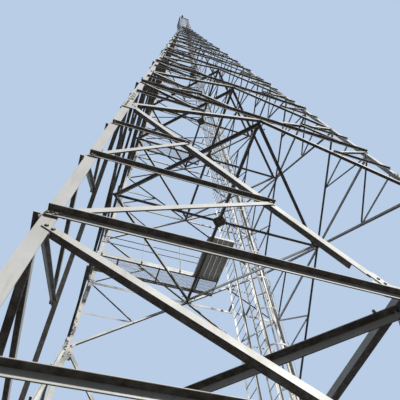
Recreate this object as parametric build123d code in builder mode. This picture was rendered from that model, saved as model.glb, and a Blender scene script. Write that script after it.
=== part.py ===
from build123d import *
import os
from math import atan, atan2, cos, degrees, hypot, pi, sin, tan

os.makedirs("parts", exist_ok=True)

# Self-supporting square lattice tower, built at half size: the real one is 60 m tall.
# X runs along the front face, Y towards the back, Z up. Shapes are drawn about the tower's axis.
base_half = 1600.0
top_half = 300.0
taper_height = 24000.0
mast_height = 6000.0
plate_thick = 15.0
foot_centre = 1560.0
foot_node = 60.0

# Leg angles: flange width and thickness, lower half, upper half and the straight head.
leg_flange = 75.0
leg_thick = 8.0
upper_leg_flange = 60.0
upper_leg_thick = 6.0
head_leg_flange = 40.0
head_leg_thick = 5.0
leg_splice_z = 12000.0

# Panel levels of the tapered shaft. The first panel is an X, the second a K, the rest are X panels.
base_node = 1935.0
k_bottom = 2000.0
k_top = 4000.0
lower_levels = [4000.0, 6000.0, 8000.0, 10000.0]
middle_levels = [10000.0, 11500.0, 13000.0, 14500.0, 16000.0]
upper_levels = [16000.0, 17500.0, 18900.0, 20200.0, 21500.0, 22750.0, 24000.0]
head_panels = 6

# Bracing angles: flange widths and thickness.
k_width = 50.0
base_width = 30.0
level_width = 33.0
lower_width = 40.0
middle_width = 34.0
upper_width = 28.0
head_width = 20.0
redundant_width = 28.0
bar_thick = 5.0
rib_clear = 45.0
node_gap = 48.0

slope = (base_half - top_half) / taper_height
tilt = atan(slope)


def half_at(z):
    return base_half - slope * min(z, taper_height)


def flange_at(z):
    if z < leg_splice_z:
        return leg_flange
    return upper_leg_flange


def gauge(z):
    return half_at(z) - flange_at(z) / 2


def turned(frame, side):
    return Plane(Rotation(0, 0, 90 * side) * frame.location)


def face_plane(side):
    # The outer plane of one side: 0 front, 1 right, 2 back, 3 left.
    frame = Plane(origin=(0, -base_half, 0), x_dir=(1, 0, 0), z_dir=(0, -cos(tilt), sin(tilt)))
    return turned(frame, side)


def strip(start, end, width, cut_start=0.0, cut_end=0.0, shift=0.0):
    # A straight strip between two points of a face, each given as (across, height).
    x0 = start[0]
    y0 = start[1] / cos(tilt)
    x1 = end[0]
    y1 = end[1] / cos(tilt)
    run = hypot(x1 - x0, y1 - y0)
    ux = (x1 - x0) / run
    uy = (y1 - y0) / run
    along = (cut_start + run - cut_end) / 2
    cx = x0 + ux * along - uy * shift
    cy = y0 + uy * along + ux * shift
    with Locations(Location((cx, cy, 0), (0, 0, degrees(atan2(uy, ux))))):
        Rectangle(run - cut_start - cut_end, width)


def crossing(z0, z1):
    return z0 + (z1 - z0) * gauge(z0) / (gauge(z0) + gauge(z1))


def on_diagonal(z, z0, z1):
    # Distance from the middle line of the diagonal that starts at the near leg at z0.
    return gauge(z0) - (gauge(z0) + gauge(z1)) * (z - z0) / (z1 - z0)


def x_panel(z0, z1, width, lower_cut, upper_cut):
    for s in (-1, 1):
        strip((s * gauge(z0), z0), (-s * gauge(z1), z1), width, lower_cut - width / 2, upper_cut - width / 2)


def x_ribs(z0, z1, width):
    # The inward legs of the crossing angles, stopped short of the tower legs and of each crossing.
    zc = crossing(z0, z1)
    stop = flange_at(z0) + 8
    for s in (-1, 1):
        strip((s * gauge(z0), z0), (0, zc), bar_thick, stop, rib_clear, s * (width - bar_thick) / 2)
        strip((0, zc), (-s * gauge(z1), z1), bar_thick, rib_clear, stop, s * (width - bar_thick) / 2)


def level_rib(z):
    # The outward leg of a level angle, along its upper edge.
    high_edge = z + level_width / 2
    strip((-gauge(z), high_edge), (gauge(z), high_edge), bar_thick, 0, 0, -bar_thick / 2)


def x_redundants(z0, z1, low, high):
    zc = crossing(z0, z1)
    for s in (-1, 1):
        xl = s * on_diagonal(low, z0, z1)
        xh = s * on_diagonal(high, z1, z0)
        strip((s * gauge(low), low), (xl, low), redundant_width)
        strip((s * gauge(high), high), (xh, high), redundant_width)
        strip((xl, low), (s * gauge(zc), zc), redundant_width)
        strip((xh, high), (s * gauge(zc), zc), redundant_width)


def save(solid, name):
    # The shape is drawn about the tower's axis and saved about the front left foot, which stands on the origin.
    placed = solid.moved(Location((foot_centre, foot_centre, 0)))
    placed.label = name
    export_step(placed, "parts/" + name + ".step")


def save_round(solid, name, places):
    # The tower is the same on all four sides, so one piece is turned about its axis three times.
    for turn in range(4):
        save(solid.rotate(Axis.Z, 90 * turn), name + "_" + places[turn])


sides = ["front", "right", "back", "left"]
corners = ["front_left", "front_right", "back_right", "back_left"]
frame = face_plane(0)
foot_crossing = crossing(foot_node, base_node)

# Base bay: an X panel on the feet, a full horizontal, and a K panel above it.
with BuildPart() as base_bracing:
    with BuildSketch(frame):
        x_panel(foot_node, base_node, base_width, 0, 0)
        x_redundants(foot_node, base_node, k_bottom / 3, k_bottom * 2 / 3)
        for level in (foot_crossing, k_bottom):
            strip((-gauge(level), level), (gauge(level), level), level_width)
        for s in (-1, 1):
            strip((0, k_bottom), (s * gauge(k_top), k_top), k_width, 0, node_gap)
            for third in (1, 2):
                level = k_top - third * (k_top - k_bottom) / 3
                below = level - (k_top - k_bottom) / 3
                inner = s * gauge(k_top) * (level - k_bottom) / (k_top - k_bottom)
                strip((s * gauge(level), level), (inner, level), redundant_width)
                strip((inner, level), (s * gauge(below), below), redundant_width)
    extrude(amount=bar_thick)
    with BuildSketch(frame):
        x_ribs(foot_node, base_node, base_width)
        for s in (-1, 1):
            strip(
                (0, k_bottom), (s * gauge(k_top), k_top), bar_thick,
                rib_clear + 20, leg_flange + 45, -s * (k_width - bar_thick) / 2,
            )
    extrude(amount=-base_width * 0.8)
    with BuildSketch(frame):
        for level in (foot_crossing, k_bottom):
            level_rib(level)
    extrude(amount=level_width)
save_round(base_bracing.part, "base_bracing", sides)

# Lower bay: three X panels with a horizontal angle at each crossing.
with BuildPart() as lower_bracing:
    with BuildSketch(frame):
        for z0, z1 in zip(lower_levels[:-1], lower_levels[1:]):
            zc = crossing(z0, z1)
            low_cut = node_gap if z0 == lower_levels[0] else 0
            high_cut = node_gap if z1 == lower_levels[-1] else 0
            x_panel(z0, z1, lower_width, low_cut, high_cut)
            strip((-gauge(zc), zc), (gauge(zc), zc), level_width)
    extrude(amount=bar_thick)
    with BuildSketch(frame):
        for z0, z1 in zip(lower_levels[:-1], lower_levels[1:]):
            level_rib(crossing(z0, z1))
    extrude(amount=level_width)
save_round(lower_bracing.part, "lower_bracing", sides)

# Middle bay: four shorter X panels.
with BuildPart() as middle_bracing:
    with BuildSketch(frame):
        for z0, z1 in zip(middle_levels[:-1], middle_levels[1:]):
            zc = crossing(z0, z1)
            low_cut = node_gap if z0 == middle_levels[0] else 0
            high_cut = node_gap if z1 == middle_levels[-1] else 0
            x_panel(z0, z1, middle_width, low_cut, high_cut)
            strip((-gauge(zc), zc), (gauge(zc), zc), middle_width)
    extrude(amount=bar_thick)
save_round(middle_bracing.part, "middle_bracing", sides)

# Upper bay: six short X panels up to the neck.
with BuildPart() as upper_bracing:
    with BuildSketch(frame):
        for z0, z1 in zip(upper_levels[:-1], upper_levels[1:]):
            zc = crossing(z0, z1)
            low_cut = node_gap if z0 == upper_levels[0] else 0
            high_cut = node_gap if z1 == upper_levels[-1] else 0
            x_panel(z0, z1, upper_width, low_cut, high_cut)
            strip((-gauge(zc), zc), (gauge(zc), zc), upper_width)
    extrude(amount=bar_thick)
save_round(upper_bracing.part, "upper_bracing", sides)


def leg_sheet(hand, z0, z1, width):
    # One flange of a leg, drawn on its face from the corner line inwards.
    v0 = z0 / cos(tilt)
    v1 = z1 / cos(tilt)
    h0 = base_half - slope * z0
    h1 = base_half - slope * z1
    Polygon((hand * h0, v0), (hand * (h0 - width), v0), (hand * (h1 - width), v1), (hand * h1, v1), align=None)


# Each leg is an equal angle with its heel on the corner line of the shaft.
with BuildPart() as lower_leg:
    with BuildSketch(face_plane(0)):
        leg_sheet(-1, 0, leg_splice_z + 20, leg_flange)
    extrude(amount=-leg_thick)
    with BuildSketch(face_plane(3)):
        leg_sheet(1, 0, leg_splice_z + 20, leg_flange)
    extrude(amount=-leg_thick)
    split(bisect_by=Plane.XY.offset(plate_thick), keep=Keep.TOP)
    split(bisect_by=Plane.XY.offset(leg_splice_z), keep=Keep.BOTTOM)
save_round(lower_leg.part, "lower_leg", corners)

with BuildPart() as upper_leg:
    with BuildSketch(face_plane(0)):
        leg_sheet(-1, leg_splice_z - 20, taper_height + 20, upper_leg_flange)
    extrude(amount=-upper_leg_thick)
    with BuildSketch(face_plane(3)):
        leg_sheet(1, leg_splice_z - 20, taper_height + 20, upper_leg_flange)
    extrude(amount=-upper_leg_thick)
    split(bisect_by=Plane.XY.offset(leg_splice_z), keep=Keep.TOP)
    split(bisect_by=Plane.XY.offset(taper_height), keep=Keep.BOTTOM)
save_round(upper_leg.part, "upper_leg", corners)

# Straight head above the neck: four angles under a square top frame, with an arm for the light.
light_across = -150.0
light_reach = 110.0
light_arm = 60.0
light_foot_r = 50.0
light_foot = 40.0
light_lens_r = 62.0
light_lens = 120.0
with BuildPart() as head_legs:
    with BuildSketch(Plane.XY.offset(taper_height)):
        for corner in range(4):
            turn = 90 * corner
            with Locations(Location((0, 0, 0), (0, 0, turn))):
                with Locations((-top_half + head_leg_flange / 2, -top_half + head_leg_thick / 2)):
                    Rectangle(head_leg_flange, head_leg_thick)
                with Locations((-top_half + head_leg_thick / 2, -top_half + head_leg_flange / 2)):
                    Rectangle(head_leg_thick, head_leg_flange)
    extrude(amount=mast_height)
    with BuildSketch(Plane.XY.offset(taper_height + mast_height)):
        Rectangle(2 * top_half, 2 * top_half)
        Rectangle(2 * top_half - 2 * head_leg_flange, 2 * top_half - 2 * head_leg_flange, mode=Mode.SUBTRACT)
        with Locations((light_across, -top_half - light_reach / 2)):
            Rectangle(light_arm, light_reach + light_arm)
    extrude(amount=head_leg_thick)
save(head_legs.part, "head_legs")

# Obstruction light on a short arm in front of the head: a metal foot with a lens on it.
with BuildPart() as obstruction_light:
    with BuildSketch(Plane.XY.offset(taper_height + mast_height + head_leg_thick)):
        with Locations((light_across, -top_half - light_reach + light_arm / 2)):
            RegularPolygon(light_foot_r, 12)
    extrude(amount=light_foot)
    with BuildSketch(Plane.XY.offset(taper_height + mast_height + head_leg_thick + light_foot)):
        with Locations((light_across, -top_half - light_reach + light_arm / 2)):
            RegularPolygon(light_lens_r, 12)
    extrude(amount=light_lens)
save(obstruction_light.part, "obstruction_light")

head_gauge = top_half - head_leg_flange / 2
head_step = (mast_height - 2 * head_width) / head_panels


def head_strip(start, end, width):
    run = hypot(end[0] - start[0], end[1] - start[1])
    with Locations(Location(((start[0] + end[0]) / 2, (start[1] + end[1]) / 2, 0),
                            (0, 0, degrees(atan2(end[1] - start[1], end[0] - start[0]))))):
        Rectangle(run, width)


with BuildPart() as head_bracing:
    with BuildSketch(Plane(origin=(0, -top_half, taper_height), x_dir=(1, 0, 0), z_dir=(0, -1, 0))):
        for i in range(head_panels):
            low = head_width + i * head_step
            high = low + head_step
            head_strip((-head_gauge, low), (head_gauge, high), head_width)
            head_strip((head_gauge, low), (-head_gauge, high), head_width)
        for level in (head_width, head_width + head_panels * head_step):
            head_strip((-top_half, level), (top_half, level), head_width)
    extrude(amount=bar_thick)
save_round(head_bracing.part, "head_bracing", sides)

# Plan bracing: a diamond between the middles of the four sides, with a cross through it.
# Where the shaft is narrow, the corner with the ladders is left open.
plan_levels = [
    (k_bottom, k_width, 0),
    (crossing(4000.0, 6000.0), lower_width, 0),
    (crossing(6000.0, 8000.0), lower_width, 0),
    (crossing(8000.0, 10000.0), lower_width, 0),
    (crossing(13000.0, 14500.0), middle_width, 1),
]
with BuildPart() as plan_bracing:
    for level, width, first_corner in plan_levels:
        reach = half_at(level) + 30
        with BuildSketch(Plane.XY.offset(level)):
            Rectangle(2 * reach, width)
            Rectangle(width, 2 * reach)
            for turn in range(first_corner, 4):
                with Locations(Location((0, 0, 0), (0, 0, 90 * turn))):
                    with Locations(Location((half_at(level) / 2, half_at(level) / 2, 0), (0, 0, -45))):
                        Rectangle(2 ** 0.5 * half_at(level) + 40, width)
        extrude(amount=bar_thick)
    for side in range(4):
        split(bisect_by=face_plane(side), keep=Keep.BOTTOM)
save(plan_bracing.part, "plan_bracing")

# Gusset plates over the bar ends where two bays meet, two on each side at each level.
gusset_thick = 4.0
gussets = {4000.0: (190.0, 300.0), 10000.0: (140.0, 220.0), 16000.0: (110.0, 170.0)}
with BuildPart() as gusset_plates:
    for side in range(4):
        with BuildSketch(face_plane(side).offset(bar_thick)):
            for level, (across, tall) in gussets.items():
                for s in (-1, 1):
                    low = (level - tall / 2) / cos(tilt)
                    high = (level + tall / 2) / cos(tilt)
                    edge_low = half_at(level - tall / 2) - 4
                    edge_high = half_at(level + tall / 2) - 4
                    Polygon(
                        (s * edge_low, low),
                        (s * (edge_low - across / 2), low),
                        (s * (edge_low - across), (low + high) / 2),
                        (s * (edge_high - across / 2), high),
                        (s * edge_high, high),
                        align=None,
                    )
        extrude(amount=gusset_thick)
save(gusset_plates.part, "gusset_plates")

# Feet: a square plate under each leg with four anchor bolt holes.
foot_size = 280.0
bolt_spacing = 200.0
bolt_hole_r = 10.0
with BuildPart() as foot_plates:
    with BuildSketch():
        with GridLocations(2 * foot_centre, 2 * foot_centre, 2, 2):
            Rectangle(foot_size, foot_size)
            with GridLocations(bolt_spacing, bolt_spacing, 2, 2):
                Circle(bolt_hole_r, mode=Mode.SUBTRACT)
    extrude(amount=plate_thick)
save(foot_plates.part, "foot_plates")

# Rest platforms along the back face: a flat frame with bar grating and toe boards, and a guard on the inner side.
rail_height = 550.0
post_size = 20.0
rail_size = 16.0
toe_height = 70.0
grating_pitch = 120.0
grating_bar = 5.0
grating_depth = 15.0
walk_near = 0.66
walk_far = 0.86
walk_end = 0.22
bay_near = 0.18
bay_end = -50.0
beam_height = 40.0
platform_levels = [crossing(4000.0, 6000.0), crossing(8000.0, 10000.0), crossing(13000.0, 14500.0)]

with BuildPart() as platform_floors:
    for level in platform_levels:
        half = half_at(level)
        base = level + bar_thick
        length = half + walk_end * half + 40
        middle = (walk_end * half - half - 40) / 2
        deep = (walk_far - walk_near) * half
        centre = (walk_far + walk_near) * half / 2
        count = int((length - 60) / grating_pitch)
        with BuildSketch(Plane.XY.offset(base)):
            with Locations((middle, centre)):
                with GridLocations(length, deep, 1, 2):
                    Rectangle(length, bar_thick)
            with Locations((walk_end * half, centre)):
                Rectangle(bar_thick, deep)
        extrude(amount=beam_height)
        with BuildSketch(Plane.XY.offset(base + beam_height - grating_depth)):
            with Locations((walk_end * half - grating_pitch * (count + 1) / 2, centre)):
                with GridLocations(grating_pitch, 0, count, 1):
                    Rectangle(grating_bar, deep)
        extrude(amount=grating_depth)
        with BuildSketch(Plane.XY.offset(base + beam_height)):
            with Locations((middle, centre)):
                with GridLocations(length, deep, 1, 2):
                    Rectangle(length, bar_thick)
        extrude(amount=toe_height)
    split(bisect_by=face_plane(3), keep=Keep.BOTTOM)
save(platform_floors.part, "platform_floors")

with BuildPart() as guard_rails:
    for level in platform_levels:
        half = half_at(level)
        end = walk_end * half
        length = half + end + 40
        floor = level + bar_thick + beam_height
        post_pitch = (half + end - 90) / 3
        with BuildSketch(Plane.XY.offset(floor + toe_height)):
            with Locations((end - post_size / 2 - post_pitch * 1.5, walk_near * half)):
                with GridLocations(post_pitch, 0, 4, 1):
                    Rectangle(post_size, bar_thick)
        extrude(amount=rail_height - toe_height)
        with BuildSketch(Plane.YZ.offset(end)):
            for share in (0.45, 0.7, 1.0):
                with Locations((walk_near * half, floor + rail_height * share - rail_size / 2)):
                    Rectangle(bar_thick, rail_size)
        extrude(amount=-length)
    split(bisect_by=face_plane(3), keep=Keep.BOTTOM)
save(guard_rails.part, "guard_rails")

# Side bay of the first platform: a small grating that reaches from the walkway to the middle of the shaft.
bay_half = half_at(platform_levels[0])
bay_deep = (walk_near - bay_near) * bay_half - bar_thick / 2
bay_wide = walk_end * bay_half - bay_end
bay_count = int(bay_deep / grating_pitch)
with BuildPart() as side_bay:
    with BuildSketch(Plane.XY.offset(platform_levels[0] + bar_thick)):
        with Locations((bay_end + bay_wide / 2, bay_near * bay_half + bay_deep / 2)):
            Rectangle(bay_wide, bay_deep)
            Rectangle(bay_wide - 2 * bar_thick, bay_deep - 2 * bar_thick, mode=Mode.SUBTRACT)
    extrude(amount=beam_height)
    with BuildSketch(Plane.XY.offset(platform_levels[0] + bar_thick + beam_height - grating_depth)):
        with Locations((bay_end + bay_wide / 2, bay_near * bay_half + bay_deep / 2)):
            with GridLocations(0, grating_pitch, 1, bay_count):
                Rectangle(bay_wide - bar_thick, grating_bar)
    extrude(amount=grating_depth)
save(side_bay.part, "side_bay")

# Climbing ladder and cable ladder: both keep their distance from the back face as it leans in.
ladder_set_in = 285.0
ladder_width = 200.0
ladder_start = 300.0
ladder_across = 0.64
rung_pitch = 145.0
rung_thick = 10.0
stringer_depth = 25.0
stringer_thick = 5.0
ladder_top = taper_height - 400.0
cable_across = 0.45
cable_width = 245.0
cable_rung_pitch = 290.0
bracket_tall = 20.0
bracket_thick = 6.0

# The back horizontals that carry the ladders, from the base to the neck.
carrier_levels = [foot_crossing, k_bottom, k_bottom + (k_top - k_bottom) / 3]
for levels in (lower_levels, middle_levels, upper_levels):
    for z0, z1 in zip(levels[:-1], levels[1:]):
        carrier_levels.append(crossing(z0, z1))


def column_plane(share):
    # A plane that follows a column upwards: its Y axis climbs parallel to the back face.
    lean = Vector(-share * slope, -slope, 1).normalized()
    across = Vector(0, 1, 0) - lean * lean.Y
    origin = (share * base_half, base_half - ladder_set_in, 0)
    return Plane(origin=origin, x_dir=across.normalized(), z_dir=across.cross(lean).normalized())


def level_on(column, height):
    # A plane across the column at one height, with the same X axis.
    return Plane(origin=column.from_local_coords((0, height, 0)), x_dir=column.x_dir, z_dir=column.y_dir)


def bracket_places(share, wide):
    # Middles of the flat arms that reach from the far stringer to the back face.
    reach = ladder_set_in - wide / 2 + 40
    return [(share * half_at(z), half_at(z) + 20 - reach / 2 + 10, z) for z in carrier_levels]


with BuildPart() as climbing_ladder:
    with BuildSketch(column_plane(ladder_across)):
        with Locations((0, (ladder_start + ladder_top) / 2)):
            with GridLocations(ladder_width - stringer_thick, 0, 2, 1):
                Rectangle(stringer_thick, ladder_top - ladder_start)
    extrude(amount=stringer_depth / 2, both=True)
    with Locations(*bracket_places(ladder_across, ladder_width)):
        Box(bracket_thick, ladder_set_in - ladder_width / 2 + 22, bracket_tall)
    split(bisect_by=face_plane(2), keep=Keep.BOTTOM)
save(climbing_ladder.part, "climbing_ladder")

with BuildPart() as cable_ladder:
    with BuildSketch(column_plane(cable_across)):
        with Locations((0, (ladder_start + ladder_top) / 2)):
            with GridLocations(cable_width - stringer_thick, 0, 2, 1):
                Rectangle(stringer_thick, ladder_top - ladder_start)
    extrude(amount=stringer_depth / 2, both=True)
    with Locations(*bracket_places(cable_across, cable_width)):
        Box(bracket_thick, ladder_set_in - cable_width / 2 + 22, bracket_tall)
    split(bisect_by=face_plane(2), keep=Keep.BOTTOM)
save(cable_ladder.part, "cable_ladder")

with BuildPart() as ladder_rungs:
    with BuildSketch(column_plane(ladder_across)):
        with Locations((0, (ladder_start + ladder_top) / 2)):
            with GridLocations(0, rung_pitch, 1, int((ladder_top - ladder_start) / rung_pitch)):
                Rectangle(ladder_width - 2 * stringer_thick, rung_thick)
    extrude(amount=rung_thick / 2, both=True)
    with BuildSketch(column_plane(cable_across)):
        with Locations((0, (ladder_start + ladder_top) / 2)):
            with GridLocations(0, cable_rung_pitch, 1, int((ladder_top - ladder_start) / cable_rung_pitch)):
                Rectangle(cable_width - 2 * stringer_thick, rung_thick)
    extrude(amount=stringer_depth / 2, both=True)
save(ladder_rungs.part, "ladder_rungs")

# Safety cage: flat hoops with eight sides on the climbing ladder's stringers, held together by upright straps.
# Each side of the cage is a piece of its own: its share of every hoop, and the strap in its middle.
cage_r = 175.0
cage_thick = 5.0
hoop_tall = 24.0
cage_start = 1300.0
cage_top = 11750.0
hoop_count = 16
flat_r = cage_r * cos(pi / 8)
cage_set_out = flat_r * 2 ** 0.5 - (ladder_width - stringer_thick - stringer_depth) / 2
hoop_pitch = (cage_top - cage_start - hoop_tall) / (hoop_count - 1)
hoop_planes = [level_on(column_plane(ladder_across), cage_start + hoop_pitch * i) for i in range(hoop_count)]
cage_sides = {
    "cage_side_back": (0, 45),
    "cage_corner_back": (-45,),
    "cage_side_right": (-90,),
    "cage_corner_front": (-135,),
    "cage_side_front": (180, 135),
}


def hoop_side(angle):
    # One of the hoop's eight sides, with mitred ends.
    near = flat_r - cage_thick / 2
    far = flat_r + cage_thick / 2
    mitre = tan(pi / 8)
    with Locations(Location((0, -cage_set_out, 0), (0, 0, angle))):
        Polygon((near, -near * mitre), (far, -far * mitre), (far, far * mitre), (near, near * mitre), align=None)


for name, angles in cage_sides.items():
    with BuildPart() as cage_side:
        with BuildSketch(*hoop_planes):
            for angle in angles:
                hoop_side(angle)
            with Locations((0, 150 - stringer_depth / 2)):
                Rectangle(400, 300, mode=Mode.SUBTRACT)
        extrude(amount=hoop_tall)
        with BuildSketch(hoop_planes[0]):
            with Locations(Location((0, -cage_set_out, 0), (0, 0, angles[0]))):
                with Locations((flat_r - cage_thick + 1, 0)):
                    Rectangle(cage_thick, hoop_tall)
        extrude(amount=cage_top - cage_start)
    save(cage_side.part, name)
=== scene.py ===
import bmesh
import bpy
import random
from math import atan, atan2, cos, pi, radians, sin
from mathutils import Matrix, Vector


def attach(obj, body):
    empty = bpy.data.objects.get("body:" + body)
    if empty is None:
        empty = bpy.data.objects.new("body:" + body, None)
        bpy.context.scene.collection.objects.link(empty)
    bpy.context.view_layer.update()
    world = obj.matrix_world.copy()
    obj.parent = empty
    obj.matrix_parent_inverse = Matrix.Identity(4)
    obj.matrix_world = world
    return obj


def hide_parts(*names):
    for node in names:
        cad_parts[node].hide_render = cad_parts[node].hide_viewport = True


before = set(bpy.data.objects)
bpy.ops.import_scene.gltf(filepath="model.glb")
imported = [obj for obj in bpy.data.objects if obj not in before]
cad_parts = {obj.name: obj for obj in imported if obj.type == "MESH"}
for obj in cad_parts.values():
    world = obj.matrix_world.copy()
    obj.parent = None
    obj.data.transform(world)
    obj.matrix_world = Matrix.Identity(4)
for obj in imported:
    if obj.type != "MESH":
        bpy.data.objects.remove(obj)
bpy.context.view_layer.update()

# The picture: seen from low down in front of the front left foot, steeply up the tower.
# A pale plain floor and sky, one lamp from the front right, and a weak even glow all round.
scene = bpy.context.scene
scene.view_settings.view_transform = "Standard"
camera = bpy.data.objects.new("camera", bpy.data.cameras.new("camera"))
scene.collection.objects.link(camera)
camera.location = (0.2987, -0.7808, 0.6855)
camera.rotation_euler = (radians(152.0488), radians(3.0647), radians(-18.1714))
camera.data.lens = 37.791
camera.data.sensor_width = 36.0
camera.data.clip_start = 0.01
camera.data.clip_end = 400.0
scene.camera = camera


def colour(code):
    # An sRGB hex colour as the linear values that Blender takes.
    parts = [int(code[i:i + 2], 16) / 255 for i in (1, 3, 5)]
    return [c / 12.92 if c <= 0.04045 else ((c + 0.055) / 1.055) ** 2.4 for c in parts] + [1.0]


def node(tree, kind, inputs=None, **settings):
    # One node with its settings. inputs gives each socket a value, or the socket that feeds it.
    made = tree.nodes.new("ShaderNode" + kind)
    for name, value in settings.items():
        setattr(made, name, value)
    for name, value in (inputs or {}).items():
        if isinstance(value, bpy.types.NodeSocket):
            tree.links.new(value, made.inputs[name])
        else:
            made.inputs[name].default_value = value
    return made


def background_rays(tree):
    # 1 for what the camera sees directly, in gloss or through glass, and 0 for light.
    path = node(tree, "LightPath")
    direct = node(tree, "Math", {
        0: path.outputs["Is Camera Ray"], 1: path.outputs["Is Glossy Ray"],
    }, operation="MAXIMUM")
    background = node(tree, "Math", {
        0: direct.outputs[0], 1: path.outputs["Is Transmission Ray"],
    }, operation="MAXIMUM")
    return background.outputs[0]


sky = bpy.data.worlds.new("pale_studio_sky")
scene.world = sky
sky.use_nodes = True
sky.node_tree.nodes.clear()
glow = node(sky.node_tree, "Background", {"Color": colour("#D5E2F2"), "Strength": 0.16})
backdrop = node(sky.node_tree, "Background", {"Color": colour("#B9CDE6"), "Strength": 1.0})
seen = node(sky.node_tree, "MixShader", {
    0: background_rays(sky.node_tree), 1: glow.outputs[0], 2: backdrop.outputs[0],
})
node(sky.node_tree, "OutputWorld", {"Surface": seen.outputs[0]})

lamp = bpy.data.objects.new("front_lamp", bpy.data.lights.new("front_lamp", "SUN"))
scene.collection.objects.link(lamp)
lamp.data.energy = 3.6
lamp.data.angle = radians(4)
lamp.data.color = (1.0, 0.985, 0.96)
lamp.rotation_euler = Vector((0.36, -0.72, 0.62)).to_track_quat("Z", "Y").to_euler()

floor_paint = bpy.data.materials.new("pale_studio_floor")
floor_paint.use_nodes = True
tree = floor_paint.node_tree
tree.nodes.clear()
floor_seen = node(tree, "Mix", {
    0: background_rays(tree), 6: colour("#4C4B49"), 7: colour("#D5DCE3"),
}, data_type="RGBA")
floor_coat = node(tree, "BsdfDiffuse", {"Color": floor_seen.outputs[2]})
node(tree, "OutputMaterial", {"Surface": floor_coat.outputs[0]})
floor_mesh = bpy.data.meshes.new("studio_floor")
floor_reach = 250
floor_z = -0.002
floor_mesh.from_pydata([
    (x * floor_reach, y * floor_reach, floor_z) for x, y in ((-1, -1), (1, -1), (1, 1), (-1, 1))
], [], [(0, 1, 2, 3)])
floor_mesh.materials.append(floor_paint)
studio_floor = bpy.data.objects.new("studio_floor", floor_mesh)
scene.collection.objects.link(studio_floor)

# Four legs: rolled equal angles with the heel outside, hot-dip galvanised after cutting and drilling.
# The lower lengths are 54 x 8 mm at this scale, the upper ones 48 x 6 mm. Cover plates on both faces,
# with hex bolts through them, join the lengths end to end at five heights.
tower_axis = Vector((1.56, 1.56, 0.0))
base_half = 1.6
top_half = 0.3
taper_height = 24.0
head_height = 6.0
slope = (base_half - top_half) / taper_height
splice_z = 12.0
lower_flange = 0.054
lower_thick = 0.008
upper_flange = 0.048
upper_thick = 0.006
head_flange = 0.040
head_thick = 0.005
east = Vector((1, 0, 0))
north = Vector((0, 1, 0))
high = Vector((0, 0, 1))


def half_at(z):
    # Half the tower's width over the legs' heels.
    return base_half - slope * min(z, taper_height)


def make_piece(name, shape, material, replaced=(), smooth=0):
    # Joins the points and faces into one piece of the tower, in the frame of the record.
    mesh = bpy.data.meshes.new(name)
    mesh.from_pydata([Vector(p) + tower_axis for p in shape[0]], [], shape[1])
    work = bmesh.new()
    work.from_mesh(mesh)
    bmesh.ops.recalc_face_normals(work, faces=work.faces)
    work.to_mesh(mesh)
    work.free()
    if smooth:
        mesh.shade_smooth()
        mesh.set_sharp_from_angle(angle=radians(smooth))
    mesh.materials.append(material)
    piece = bpy.data.objects.new(name, mesh)
    scene.collection.objects.link(piece)
    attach(piece, "root")
    if replaced:
        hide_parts(*replaced)
    return piece


def rolled(shape, outline, start, end, along_x, along_y):
    # One length of a rolled section, from start to end.
    points, faces = shape
    first = len(points)
    count = len(outline)
    for place in (start, end):
        for a, b in outline:
            points.append(place + along_x * a + along_y * b)
    for i in range(count):
        j = (i + 1) % count
        faces.append((first + i, first + j, first + count + j, first + count + i))
    faces.append(tuple(range(first + count - 1, first - 1, -1)))
    faces.append(tuple(range(first + count, first + 2 * count)))


def angle_outline(flat, stand, thick):
    # A rolled angle seen from its end: sharp heel at 0, 0, rounded toes and a rounded root.
    toe = thick * 0.55
    root = thick * 0.9
    return [
        (0, 0), (flat, 0), (flat, thick - toe), (flat - toe * 0.3, thick - toe * 0.3), (flat - toe, thick),
        (thick + root, thick), (thick + root * 0.3, thick + root * 0.3), (thick, thick + root),
        (thick, stand - toe), (thick - toe * 0.3, stand - toe * 0.3), (thick - toe, stand), (0, stand),
    ]


def turned(shape, foot, axis, rings, sides, spin=0.0):
    # A turned or many-sided shape about an axis, from (radius, height) rings.
    points, faces = shape
    first = len(points)
    one = axis.orthogonal().normalized()
    two = axis.cross(one)
    for radius, height in rings:
        for i in range(sides):
            turn = 2 * pi * i / sides + spin
            points.append(foot + axis * height + one * radius * cos(turn) + two * radius * sin(turn))
    for k in range(len(rings) - 1):
        for i in range(sides):
            j = (i + 1) % sides
            a = first + k * sides
            faces.append((a + i, a + j, a + sides + j, a + sides + i))
    faces.append(tuple(range(first + sides - 1, first - 1, -1)))
    faces.append(tuple(range(len(points) - sides, len(points))))


bolt_turns = random.Random(11)
big_bolt = 0.0085
small_bolt = 0.007
fine_bolt = 0.006
close_up_height = 5.2


def hex_bolt(shape, place, axis, size, grip):
    # A structural bolt. size is the shank's diameter, and grip the steel between its head and its nut.
    # Low on the tower it has a washer and a shank end, and higher up only its head and nut.
    spin = bolt_turns.uniform(0, pi / 3)
    full = place.z < close_up_height
    seat = size * 0.15 if full else 0.0
    tail = place - axis * grip
    head_r = size * 0.87
    if full:
        turned(shape, place, axis, [(size * 0.97, 0), (size * 0.97, seat)], 10)
        turned(shape, tail, -axis, [(size * 0.5, 0), (size * 0.5, size * 1.35)], 8)
    turned(shape, place, axis, [(head_r, seat), (head_r, size * 0.6), (head_r * 0.87, size * 0.72)], 6, spin)
    turned(shape, tail, -axis, [(head_r, 0), (head_r, size * 0.8), (head_r * 0.87, size * 0.92)], 6, spin)


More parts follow.
